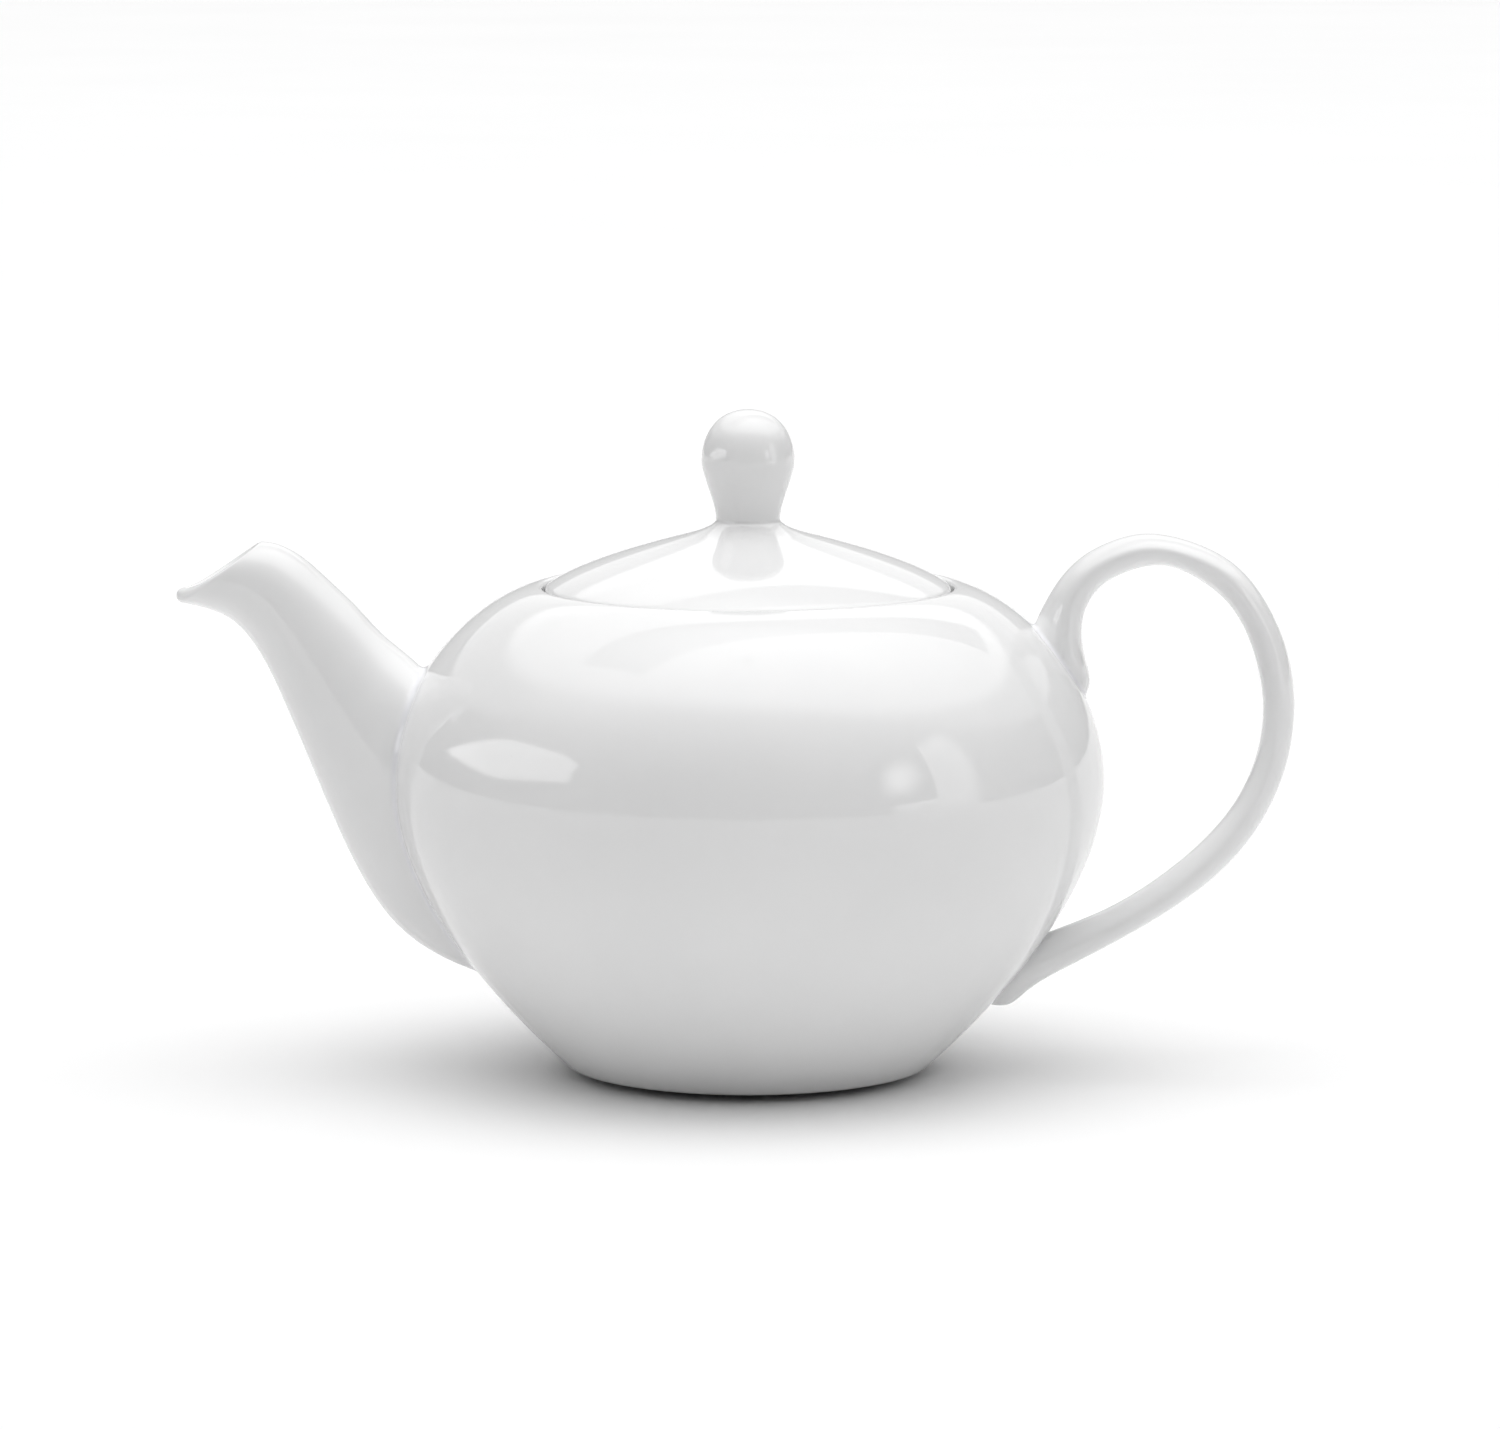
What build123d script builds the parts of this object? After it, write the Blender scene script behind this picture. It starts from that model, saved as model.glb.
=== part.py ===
from build123d import *
import math
import os

# Porcelain teapot: a thrown pot with a cast spout and a pulled handle stuck
# on, and a loose lid that carries a round knob.
# Millimetres.  The origin is on the pot's axis at the plane it stands on.
# +Z is up, the spout points to -X and the handle to +X.

# ---- pot body -----------------------------------------------------------
FOOT_OUTER_R = 31.3        # outer edge of the unglazed foot ring
FOOT_INNER_R = 28.3        # inner edge of the foot ring
FOOT_BEVEL = 1.8           # slope from the foot ring in to the underside
FOOT_RISE = 2.2            # underside above the standing plane
CORNER_R = 41.15           # soft corner where the base turns up
CORNER_Z = 2.07
CORNER_PULL = 0.5          # how tightly the corner turns
FLANK_DEG = 42.4           # lean of the flank just above the corner
FLANK_PULL = 18.4          # how far the flank keeps that lean
BELLY_R = 79.7             # widest radius of the pot
BELLY_Z = 65.9             # height of the widest radius
BELLY_PULL_DOWN = 24.7     # how slowly the belly turns in below and above
BELLY_PULL_UP = 23.25
RIM_R = 47.6               # where the shoulder meets the rim
RIM_Z = 109.5
SHOULDER_DEG = 11.8        # slope of the shoulder at the rim
SHOULDER_PULL = 13.0       # how far the shoulder keeps that slope
RIM_PULL = 1.0             # how tightly the rim rolls over
WALL = 4.0                 # wall thickness
FLOOR_Z = 6.6              # inside floor
FLOOR_R = 34.0             # where the floor turns up into the side
FLOOR_PULL = 12.0          # the same pulls for the inside
INNER_PULL_DOWN = 24.0
INNER_PULL_UP = 23.0
NECK_PULL = 24.0

# ---- lid seat -----------------------------------------------------------
RECESS_R = 45.9            # upright wall that the lid drops into
RECESS_TOP_Z = 108.3       # where that wall rolls over into the rim
SEAT_Z = 105.2             # flat ledge the lid rests on
NECK_R = 39.5              # mouth of the pot, inside the ledge
LEDGE_DEPTH = 5.5          # ledge thickness at the mouth
LEDGE_ROUND = 0.8

# ---- lid ----------------------------------------------------------------
LID_R = 45.3               # outer radius of the lid
LID_SIDE_Z = 108.0         # top of the lid's upright edge
LID_EDGE_Z = 109.0         # where that edge starts to turn in
LID_EDGE_TOP_Z = 109.28
DOME = [(45.11, 109.42), (36.7, 115.5), (15.9, 120.3), (12.4, 121.4)]
FLANGE_R = 38.3            # locating flange that hangs in the mouth
FLANGE_INNER_R = 34.9
FLANGE_DEPTH = 12.0
FLANGE_ROUND = 1.2
LID_INSIDE = [(34.9, 109.0), (30.0, 113.6), (14.0, 116.6), (0.0, 117.6)]
LID_BEVEL = 0.5            # lower corner of the lid's edge
VENT_R = 1.25              # steam hole behind the knob
VENT_Y = 19.0
VENT_LENGTH = 15.0         # cuts right through the dome

# ---- knob ---------------------------------------------------------------
STEM_R = 7.1               # narrowest part of the stem
STEM_Z = 124.6             # joint between the lid and the knob
BLEND_R = 9.0              # concave blend between the dome and the stem
BLEND_Z = 122.45
STEM_PULL_DOWN = 1.1       # how slowly the stem flares, down and up
STEM_PULL_UP = 3.4
KNOB_R = 10.35
KNOB_Z = 137.7             # height of the widest part of the knob
KNOB_TOP_Z = 148.95
KNOB_PULL_DOWN = 3.3       # how full the knob is below and above that
KNOB_PULL_UP = 4.7
CROWN_R = 7.6
SPIGOT_R = 4.0             # short spigot that keys the knob into the lid
SPIGOT_DEPTH = 2.4

# ---- spout --------------------------------------------------------------
# Each station: back edge (x, z), front edge (x, z), half width across.
SPOUT_STATIONS = [
    ((-58.0, 74.0), (-50.0, 19.5), 17.0),
    ((-73.5, 91.4), (-62.6, 22.9), 16.2),
    ((-80.5, 97.4), (-76.0, 30.4), 15.3),
    ((-86.5, 103.7), (-88.0, 46.8), 14.0),
    ((-91.5, 108.7), (-97.0, 67.5), 12.5),
    ((-96.5, 113.4), (-103.6, 83.4), 11.0),
    ((-101.0, 116.9), (-109.6, 95.6), 9.4),
    ((-105.0, 118.7), (-116.0, 102.6), 7.8),
    ((-107.9, 119.7), (-128.8, 106.8), 6.2),
]
SPOUT_WALL_ROOT = 3.4
SPOUT_WALL_MOUTH = 2.2
SPOUT_LIP_ROUND = 0.7
SPOUT_OVERRUN = 4.0        # the bore is cut past the mouth

# Bezier points of a quarter of a unit circle
ARC = 0.5523
QUARTER_ARC = [(1, 0), (1, ARC), (ARC, 1), (0, 1)]

# ---- strainer -----------------------------------------------------------
STRAINER_HOLE_R = 1.25
STRAINER_PITCH = 5.6
STRAINER_MID_Z = 58.0
STRAINER_ROWS = [(-3, 2), (-2, 3), (-1, 4), (0, 3), (1, 4), (2, 3), (3, 2)]  # (row, holes in it)
STRAINER_ROD = 24.0        # long enough to pierce the wall

# ---- handle -------------------------------------------------------------
# Each station: outer edge (x, z), inner edge (x, z), half width across.
HANDLE_STATIONS = [
    ((58.0, 91.0), (69.0, 76.5), 8.4),
    ((64.3, 101.3), (75.1, 84.4), 8.4),
    ((65.3, 103.6), (76.4, 87.8), 8.2),
    ((66.7, 106.3), (75.3, 93.4), 7.6),
    ((69.8, 111.2), (74.8, 102.4), 6.9),
    ((74.5, 115.9), (77.7, 108.4), 6.5),
    ((81.5, 119.6), (83.0, 112.1), 6.3),
    ((90.0, 121.1), (90.1, 114.1), 6.2),
    ((100.7, 118.6), (97.2, 112.8), 6.2),
    ((111.0, 111.9), (105.8, 107.0), 6.2),
    ((118.6, 99.8), (111.6, 98.2), 6.2),
    ((122.2, 82.0), (115.2, 82.0), 6.2),
    ((119.6, 66.3), (112.8, 68.0), 6.2),
    ((111.8, 51.5), (106.0, 56.2), 6.2),
    ((97.5, 38.2), (92.9, 44.0), 6.3),
    ((83.0, 29.3), (79.5, 35.8), 6.6),
    ((72.5, 23.7), (69.2, 31.6), 7.0),
    ((62.5, 17.6), (59.5, 26.5), 7.2),
    ((57.5, 14.5), (54.0, 22.0), 6.6),
    ((52.0, 15.4), (50.0, 20.5), 5.4),
]


def curve(*points):
    """Bezier edge through outline points given as (radius, height)."""
    return Edge.make_bezier(*[(r, 0, z) for r, z in points])


def lines(*points):
    """Straight edges joining outline points in turn."""
    corners = [(r, 0, z) for r, z in points]
    return [Edge.make_line(a, b) for a, b in zip(corners, corners[1:])]


def turned(edges):
    """Solid made by turning a closed outline about the Z axis."""
    return Solid.revolve(Face(Wire(edges)), 360, Axis.Z)


def toward(point, degrees, distance):
    """Outline point at a distance and angle from another."""
    angle = math.radians(degrees)
    return (point[0] + distance * math.cos(angle), point[1] + distance * math.sin(angle))


def round_rings(solid, amount, *rings):
    """Round the circular edges that have these radii and heights."""
    edges = []
    for edge in solid.edges().filter_by(GeomType.CIRCLE):
        for radius, height in rings:
            if abs(edge.radius - radius) < 0.01 and abs(edge.center().Z - height) < 0.01:
                edges.append(edge)
    return solid.fillet(amount, edges)


# ---- pot body -----------------------------------------------------------

def outer_profile():
    """Outside of the pot from the foot ring to the rim."""
    foot = (FOOT_OUTER_R, 0)
    corner = (CORNER_R, CORNER_Z)
    belly = (BELLY_R, BELLY_Z)
    rim = (RIM_R, RIM_Z)
    base = curve(
        foot,
        (FOOT_OUTER_R + CORNER_PULL, 0),
        toward(corner, FLANK_DEG + 180, CORNER_PULL),
        corner,
    )
    flank = curve(
        corner,
        toward(corner, FLANK_DEG, FLANK_PULL),
        (BELLY_R, BELLY_Z - BELLY_PULL_DOWN),
        belly,
    )
    shoulder = curve(
        belly,
        (BELLY_R, BELLY_Z + BELLY_PULL_UP),
        toward(rim, -SHOULDER_DEG, SHOULDER_PULL),
        rim,
    )
    return [base, flank, shoulder]


def pot_envelope():
    """The pot's outside as one full solid, used to trim what is stuck on it."""
    closing = lines((RIM_R, RIM_Z), (0, RIM_Z), (0, 0), (FOOT_OUTER_R, 0))
    return turned(outer_profile() + closing)


def strainer_holes():
    """Rods that pierce the pot's wall inside the spout's root."""
    rods = []
    for row, count in STRAINER_ROWS:
        for place in range(count):
            y = (place - (count - 1) / 2) * STRAINER_PITCH
            z = STRAINER_MID_Z + row * STRAINER_PITCH
            rods.append(Pos(-BELLY_R, y, z) * Rot(0, 90, 0) * Cylinder(STRAINER_HOLE_R, STRAINER_ROD))
    return rods


def pot_body():
    """Hollow pot with foot ring, inner ledge for the lid and open mouth."""
    rim = (RIM_R, RIM_Z)
    recess_top = (RECESS_R, RECESS_TOP_Z)
    inner_r = BELLY_R - WALL
    inner_belly = (inner_r, BELLY_Z)
    mouth = (NECK_R, SEAT_Z - LEDGE_DEPTH)
    floor_edge = (FLOOR_R, FLOOR_Z)
    roll = curve(rim, toward(rim, 180 - SHOULDER_DEG, RIM_PULL), (RECESS_R, RIM_Z), recess_top)
    seat = lines(recess_top, (RECESS_R, SEAT_Z), (NECK_R, SEAT_Z), mouth)
    inner_top = curve(
        mouth,
        (NECK_R + NECK_PULL, mouth[1]),
        (inner_r, BELLY_Z + INNER_PULL_UP),
        inner_belly,
    )
    inner_side = curve(
        inner_belly,
        (inner_r, BELLY_Z - INNER_PULL_DOWN),
        (FLOOR_R + FLOOR_PULL, FLOOR_Z),
        floor_edge,
    )
    underside = lines(
        floor_edge,
        (0, FLOOR_Z),
        (0, FOOT_RISE),
        (FOOT_INNER_R - FOOT_BEVEL, FOOT_RISE),
        (FOOT_INNER_R, 0),
        (FOOT_OUTER_R, 0),
    )
    shell = turned(outer_profile() + [roll] + seat + [inner_top, inner_side] + underside)
    shell = round_rings(shell, LEDGE_ROUND, (NECK_R, SEAT_Z), mouth)
    return shell - strainer_holes()


# ---- lid and knob -------------------------------------------------------

def stem_blend():
    """Concave blend from the dome up into the knob's stem."""
    return curve(DOME[-1], (BLEND_R, BLEND_Z), (STEM_R, STEM_Z - STEM_PULL_DOWN), (STEM_R, STEM_Z))


def lid():
    """Domed lid with an upright edge, a locating flange and a steam hole."""
    edge = curve((LID_R, LID_SIDE_Z), (LID_R, LID_EDGE_Z), (LID_R, LID_EDGE_TOP_Z), DOME[0])
    flange_z = SEAT_Z - FLANGE_DEPTH
    top = lines((STEM_R, STEM_Z), (0, STEM_Z), LID_INSIDE[-1])
    inside = curve(*LID_INSIDE)
    skirt = lines(
        LID_INSIDE[0],
        (FLANGE_INNER_R, flange_z),
        (FLANGE_R, flange_z),
        (FLANGE_R, SEAT_Z),
        (LID_R - LID_BEVEL, SEAT_Z),
        (LID_R, SEAT_Z + LID_BEVEL),
        (LID_R, LID_SIDE_Z),
    )
    dome = turned([edge, curve(*DOME), stem_blend()] + top + [inside] + skirt)
    dome = round_rings(dome, FLANGE_ROUND, (FLANGE_INNER_R, flange_z), (FLANGE_R, flange_z))
    socket = Pos(0, 0, STEM_Z) * Cylinder(SPIGOT_R, 2 * SPIGOT_DEPTH)
    vent = Pos(0, VENT_Y, DOME[-1][1]) * Cylinder(VENT_R, VENT_LENGTH)
    return dome - socket - vent


def lid_knob():
    """Round knob on a waisted stem, with a spigot that keys into the lid."""
    widest = (KNOB_R, KNOB_Z)
    waist = curve(
        (STEM_R, STEM_Z),
        (STEM_R, STEM_Z + STEM_PULL_UP),
        (KNOB_R, KNOB_Z - KNOB_PULL_DOWN),
        widest,
    )
    crown = curve(widest, (KNOB_R, KNOB_Z + KNOB_PULL_UP), (CROWN_R, KNOB_TOP_Z), (0, KNOB_TOP_Z))
    spigot = lines(
        (0, KNOB_TOP_Z),
        (0, STEM_Z - SPIGOT_DEPTH),
        (SPIGOT_R, STEM_Z - SPIGOT_DEPTH),
        (SPIGOT_R, STEM_Z),
        (STEM_R, STEM_Z),
    )
    return turned([waist, crown] + spigot)


# ---- spout and handle ---------------------------------------------------

def slopes(knots, values):
    """Slopes at the knots of the smooth cubic that passes through the values."""
    last = len(knots) - 1
    gaps = [knots[i + 1] - knots[i] for i in range(last)]
    rises = [(values[i + 1] - values[i]) / gaps[i] for i in range(last)]
    diagonal = [2.0]
    upper = [1.0]
    right = [rises[0] * 3]
    for i in range(1, last):
        factor = gaps[i] / diagonal[-1]
        diagonal.append(2 * (gaps[i - 1] + gaps[i]) - factor * upper[-1])
        right.append((rises[i - 1] * gaps[i] + rises[i] * gaps[i - 1]) * 3 - right[-1] * factor)
        upper.append(gaps[i - 1])
    factor = 1 / diagonal[-1]
    result = [(rises[-1] * 3 - right[-1] * factor) / (2 - factor * upper[-1])]
    for i in range(last - 1, -1, -1):
        result.insert(0, (right[i] - result[0] * upper[i]) / diagonal[i])
    return result


def span_controls(knots, values, index):
    """Four Bezier points of one span of that cubic."""
    slope = slopes(knots, values)
    third = (knots[index + 1] - knots[index]) / 3
    start = values[index]
    end = values[index + 1]
    return [start, start + slope[index] * third, end - slope[index + 1] * third, end]


def tube(stations, inset_first, inset_last):
    """Closed solid through oval sections whose ends lie on the two edges.

    It is skinned with Bezier patches, four around each span.
    """
    last = len(stations) - 1
    middles = []
    reaches = []
    sides = []
    knots = [0.0]
    for index, (edge_a, edge_b, half_width) in enumerate(stations):
        inset = inset_first + (inset_last - inset_first) * index / last
        a = Vector(edge_a[0], 0, edge_a[1])
        b = Vector(edge_b[0], 0, edge_b[1])
        middles.append((a + b) / 2)
        reaches.append((a - b).normalized() * ((a - b).length / 2 - inset))
        sides.append(Vector(0, half_width - inset, 0))
        if index:
            knots.append(knots[-1] + (middles[-1] - middles[-2]).length)
    faces = []
    rims = [[], []]
    for index in range(last):
        rows = zip(*[span_controls(knots, values, index) for values in (middles, reaches, sides)])
        rows = list(rows)
        for quarter in range(4):
            cos_q = round(math.cos(quarter * math.pi / 2))
            sin_q = round(math.sin(quarter * math.pi / 2))
            net = []
            for middle, reach, side in rows:
                along = reach * cos_q + side * sin_q
                across = side * cos_q - reach * sin_q
                net.append([middle + along * c + across * s for c, s in QUARTER_ARC])
            faces.append(Face.make_bezier_surface(net))
            if index == 0:
                rims[0].append(Edge.make_bezier(*net[0]))
            if index == last - 1:
                rims[1].append(Edge.make_bezier(*net[-1]))
    faces += [Face(Wire(rim)) for rim in rims]
    return Solid(Shell(faces))


def spout(envelope):
    """Hollow spout, open at its mouth and trimmed to the pot's side."""
    back, front, half_width = SPOUT_STATIONS[-1]
    slope = math.atan2(back[1] - front[1], back[0] - front[0])
    reach = Vector(-math.sin(slope), 0, math.cos(slope)) * SPOUT_OVERRUN
    past_mouth = (
        (back[0] + reach.X, back[1] + reach.Z),
        (front[0] + reach.X, front[1] + reach.Z),
        half_width,
    )
    outside = tube(SPOUT_STATIONS, 0, 0)
    inside = tube(SPOUT_STATIONS + [past_mouth], SPOUT_WALL_ROOT, SPOUT_WALL_MOUTH)
    pipe = outside - inside - envelope
    lip = pipe.faces().filter_by(GeomType.PLANE).sort_by(Axis.Z)[-1]
    return pipe.fillet(SPOUT_LIP_ROUND, lip.edges())


def handle(envelope):
    """Loop handle trimmed to the pot's side."""
    return tube(HANDLE_STATIONS, 0, 0) - envelope


os.makedirs("parts", exist_ok=True)
outline = pot_envelope()
pieces = {
    "pot_body": pot_body(),
    "spout": spout(outline),
    "handle": handle(outline),
    "lid": lid(),
    "lid_knob": lid_knob(),
}
for name, piece in pieces.items():
    export_step(piece, "parts/" + name + ".step")
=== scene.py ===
import math
import bpy
import numpy as np
from mathutils import Matrix, Vector


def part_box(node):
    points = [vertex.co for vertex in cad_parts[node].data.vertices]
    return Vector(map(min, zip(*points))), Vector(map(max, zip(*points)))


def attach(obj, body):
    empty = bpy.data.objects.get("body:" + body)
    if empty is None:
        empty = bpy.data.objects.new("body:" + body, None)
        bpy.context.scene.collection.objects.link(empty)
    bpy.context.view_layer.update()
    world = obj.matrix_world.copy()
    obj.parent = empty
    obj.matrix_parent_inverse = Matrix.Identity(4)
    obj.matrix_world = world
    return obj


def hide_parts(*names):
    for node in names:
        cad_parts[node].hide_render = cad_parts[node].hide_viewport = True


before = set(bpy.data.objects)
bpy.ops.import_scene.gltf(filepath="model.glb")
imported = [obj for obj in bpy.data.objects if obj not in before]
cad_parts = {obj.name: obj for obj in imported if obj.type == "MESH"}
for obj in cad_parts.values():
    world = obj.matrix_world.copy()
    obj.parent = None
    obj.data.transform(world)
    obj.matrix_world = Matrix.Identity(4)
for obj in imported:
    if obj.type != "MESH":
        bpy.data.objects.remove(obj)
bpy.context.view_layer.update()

# ---- size of the drawing -------------------------------------------------
# Outlines are drawn in millimetres, with the table at height 0.  What one
# such millimetre is in metres, and where the table is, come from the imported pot.
pot_low, pot_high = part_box("pot_body")
BELLY_R = 79.7
MM = pot_high.x / BELLY_R
TABLE_Z = pot_low.z

TURNED_SIDES = 256         # faces round a turned piece
SPOUT_SIDES = 160
HANDLE_SIDES = 96
HOLE_SIDES = 40
ON_AXIS = 1e-6             # an outline point nearer to the axis than this lies on it
HOLE_R = 1.25              # strainer holes and steam hole
HOLE_PITCH = 5.6           # between strainer holes


# ---- outlines ------------------------------------------------------------

def cubic(t, a, b, c, d):
    """Point at t, from 0 to 1, on the cubic Bezier from a to d."""
    s = 1 - t
    return s**3 * a + 3 * s**2 * t * b + 3 * s * t**2 * c + t**3 * d


def bezier(controls, count):
    """Points along a cubic Bezier, without its last point."""
    t = np.linspace(0, 1, count, endpoint=False)[:, None]
    return cubic(t, *[np.array(p, float) for p in controls])


def rounded(corners, radius, count=5):
    """Straight runs between corners that are rounded off, without the last point.

    count is the number of points on each rounding.
    """
    points = [np.array(corners[0], float)]
    for before, here, after in zip(corners, corners[1:], corners[2:]):
        before, here, after = [np.array(p, float) for p in (before, here, after)]
        back = before - here
        on = after - here
        size = min(radius, 0.45 * np.linalg.norm(back), 0.45 * np.linalg.norm(on))
        first = here + back / np.linalg.norm(back) * size
        last = here + on / np.linalg.norm(on) * size
        for t in np.linspace(0, 1, count):
            points.append((1 - t) ** 2 * first + 2 * (1 - t) * t * here + t**2 * last)
    return np.array(points)


def toward(point, degrees, distance):
    """Control point at a distance from a point, in the direction given in degrees."""
    angle = math.radians(degrees)
    return (point[0] + distance * math.cos(angle), point[1] + distance * math.sin(angle))


FOOT = (31.3, 0.0)
CORNER = (41.15, 2.07)
BELLY = (BELLY_R, 65.9)
RIM = (47.6, 109.5)
CLAY_FLOOR = 6.6           # height of the pot's inner floor
LEDGE_Z = 105.2            # height of the ledge that the lid sits on

# (radius, height), from the foot up the outside, over the rim and down the inside
outside = np.vstack([
    bezier([FOOT, (31.8, 0.0), toward(CORNER, 222.4, 0.5), CORNER], 14),
    bezier([CORNER, toward(CORNER, 42.4, 18.4), (BELLY_R, 41.2), BELLY], 60),
    bezier([BELLY, (BELLY_R, 89.15), toward(RIM, -11.8, 13.0), RIM], 60),
])
rim_roll = bezier([RIM, toward(RIM, 168.2, 1.0), (45.9, 109.5), (45.9, 108.3)], 12)
seat = rounded([(45.9, 108.3), (45.9, LEDGE_Z), (39.5, LEDGE_Z), (39.5, 99.7), (41.5, 99.7)], 0.8)
inside = np.vstack([
    bezier([(41.5, 99.7), (63.5, 99.7), (75.7, 88.9), (75.7, 65.9)], 40),
    bezier([(75.7, 65.9), (75.7, 41.9), (46.0, CLAY_FLOOR), (34.0, CLAY_FLOOR)], 40),
    bezier([(34.0, CLAY_FLOOR), (24.0, CLAY_FLOOR), (10.0, CLAY_FLOOR), (0.0, CLAY_FLOOR)], 8),
    [(0.0, CLAY_FLOOR)],
])
underside = np.vstack([
    [(0.0, 2.2)],
    bezier([(3.0, 2.2), (10.0, 2.2), (18.0, 2.2), (26.0, 2.2)], 5),
    rounded([(26.0, 2.2), (26.8, 2.1), (28.3, 0.0), (29.8, 0.0), FOOT], 0.7, 4),
])
pot_outline = np.vstack([underside, outside, rim_roll, seat, inside])

DOME = [(45.11, 109.42), (36.7, 115.5), (15.9, 120.3), (12.4, 121.4)]
STEM = (7.1, 124.6)
LID_EDGE_R = 44.6          # the dome's top ends here and a rounded edge begins
dome = bezier(DOME, 80)
dome = dome[dome[:, 0] < LID_EDGE_R]
lid_outline = np.vstack([
    bezier([(0.0, 117.6), (14.0, 116.6), (30.0, 113.6), (34.9, 109.0)], 30),
    rounded([
        (34.9, 109.0), (34.9, 93.2), (38.3, 93.2), (38.3, LEDGE_Z),
        (44.8, LEDGE_Z), (45.3, 105.7), (45.3, 108.3),
    ], 1.1),
    bezier([(45.3, 108.3), (45.3, 108.9), (45.15, 109.38), dome[0]], 10),
    dome,
    bezier([DOME[3], (9.0, 122.45), (7.1, 123.5), STEM], 18),
    [STEM, (5.0, 124.6), (4.0, 124.6), (4.0, 122.2), (0.0, 122.2)],
])
knob_outline = np.vstack([
    [(0.0, 122.3), (3.9, 122.3), (3.9, 124.58), (5.0, 124.58)],
    bezier([STEM, (7.1, 128.0), (10.35, 134.4), (10.35, 137.7)], 30),
    bezier([(10.35, 137.7), (10.35, 142.4), (7.6, 148.95), (0.0, 148.95)], 40),
    [(0.0, 148.95)],
])


def body_radius(z):
    """Radius of the pot's outside at a height."""
    return np.interp(z, outside[:, 1], outside[:, 0])


def body_normal(points):
    """Outward normals of the pot's outside at points given in the drawing."""
    z = points[..., 2]
    step = 0.2
    lean = (body_radius(z + step) - body_radius(z - step)) / (2 * step)
    flat = np.hypot(points[..., 0], points[..., 1])
    normal = np.stack([points[..., 0] / flat, points[..., 1] / flat, -lean], -1)
    return normal / np.linalg.norm(normal, axis=-1, keepdims=True)


def onto_body(points, lift):
    """The same points moved level, to or from the pot's axis, onto its outside.

    lift is how far outside it they end.
    """
    flat = np.hypot(points[..., 0], points[..., 1])
    scale = (body_radius(points[..., 2]) + lift) / flat
    return np.stack([points[..., 0] * scale, points[..., 1] * scale, points[..., 2]], -1)


# ---- meshes --------------------------------------------------------------

def make_mesh(name, vertices, faces, pool_shade=None, bare=None):
    """Smooth mesh object from drawing coordinates.

    pool_shade is how thick the glaze lies at each vertex (0 to 1), which also
    sets how much painted shade darkens it there, and bare is 1 on unglazed
    faces and 0 on the others.
    """
    mesh = bpy.data.meshes.new(name)
    placed = np.array(vertices, float) * MM
    placed[:, 2] += TABLE_Z
    mesh.from_pydata(placed.tolist(), [], faces)
    if pool_shade is None:
        pool_shade = np.zeros(len(placed))
    # glaze gathered in the corners, which also carries painted shade there
    layer = mesh.attributes.new("glaze_pool_shade", "FLOAT", "POINT")
    layer.data.foreach_set("value", pool_shade)
    if bare is not None:
        mesh.polygons.foreach_set("material_index", np.array(bare, np.int32))
    mesh.polygons.foreach_set("use_smooth", np.ones(len(faces), bool))
    mesh.update()
    made = bpy.data.objects.new(name, mesh)
    bpy.context.scene.collection.objects.link(made)
    return made


def turned(name, outline, pool_shade_at=None, bare_between=()):
    """Turned piece from an outline of (radius, height) that starts and ends on the axis.

    bare_between lists unglazed zones: (least radius, most radius, least height,
    most height).
    """
    angles = np.arange(TURNED_SIDES) * 2 * math.pi / TURNED_SIDES
    vertices = []
    rows = []
    for radius, height in outline:
        if radius < ON_AXIS:
            rows.append([len(vertices)])
            vertices.append((0.0, 0.0, height))
        else:
            rows.append(list(range(len(vertices), len(vertices) + TURNED_SIDES)))
            heights = [height] * TURNED_SIDES
            vertices.extend(zip(radius * np.cos(angles), radius * np.sin(angles), heights))
    faces = []
    bare = []
    for index in range(len(rows) - 1):
        low, high = rows[index], rows[index + 1]
        middle = (np.array(outline[index]) + np.array(outline[index + 1])) / 2
        is_bare = any(
            r0 <= middle[0] <= r1 and z0 <= middle[1] <= z1 for r0, r1, z0, z1 in bare_between
        )
        if len(low) == 1 and len(high) == 1:
            continue
        for turn in range(TURNED_SIDES):
            after = (turn + 1) % TURNED_SIDES
            if len(low) == 1:
                faces.append((low[0], high[after], high[turn]))
            elif len(high) == 1:
                faces.append((low[turn], low[after], high[0]))
            else:
                faces.append((low[turn], low[after], high[after], high[turn]))
            bare.append(int(is_bare))
    vertices = np.array(vertices)
    pool_shade = pool_shade_at(vertices) if pool_shade_at else None
    return make_mesh(name, vertices, faces, pool_shade, bare)


def smooth_cubic(knots, values):
    """Function for the smooth cubic that passes through values at the knots."""
    values = np.array(values, float)
    count = len(knots)
    gaps = np.diff(knots)
    system = np.zeros((count, count))
    right = np.zeros((count, values.shape[1]))
    system[0, :2] = (2, 1)
    system[-1, -2:] = (1, 2)
    rises = np.diff(values, axis=0) / gaps[:, None]
    right[0] = 3 * rises[0]
    right[-1] = 3 * rises[-1]
    for i in range(1, count - 1):
        system[i, i - 1] = gaps[i]
        system[i, i] = 2 * (gaps[i - 1] + gaps[i])
        system[i, i + 1] = gaps[i - 1]
        right[i] = 3 * (rises[i - 1] * gaps[i] + rises[i] * gaps[i - 1])
    slopes = np.linalg.solve(system, right)

    def at(t):
        t = np.asarray(t, float)
        span = np.clip(np.searchsorted(knots, t, side="right") - 1, 0, count - 2)
        gap = gaps[span][..., None]
        s = (t[..., None] - np.asarray(knots)[span][..., None]) / gap
        a, b = values[span], values[span + 1]
        m, n = slopes[span] * gap, slopes[span + 1] * gap
        return (
            a * (1 + 2 * s) * (1 - s) ** 2 + m * s * (1 - s) ** 2
            + b * s**2 * (3 - 2 * s) - n * s**2 * (1 - s)
        )

    return at


CROSSING_STEPS = 900       # places tried along a tube to find where it leaves the pot


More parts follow.
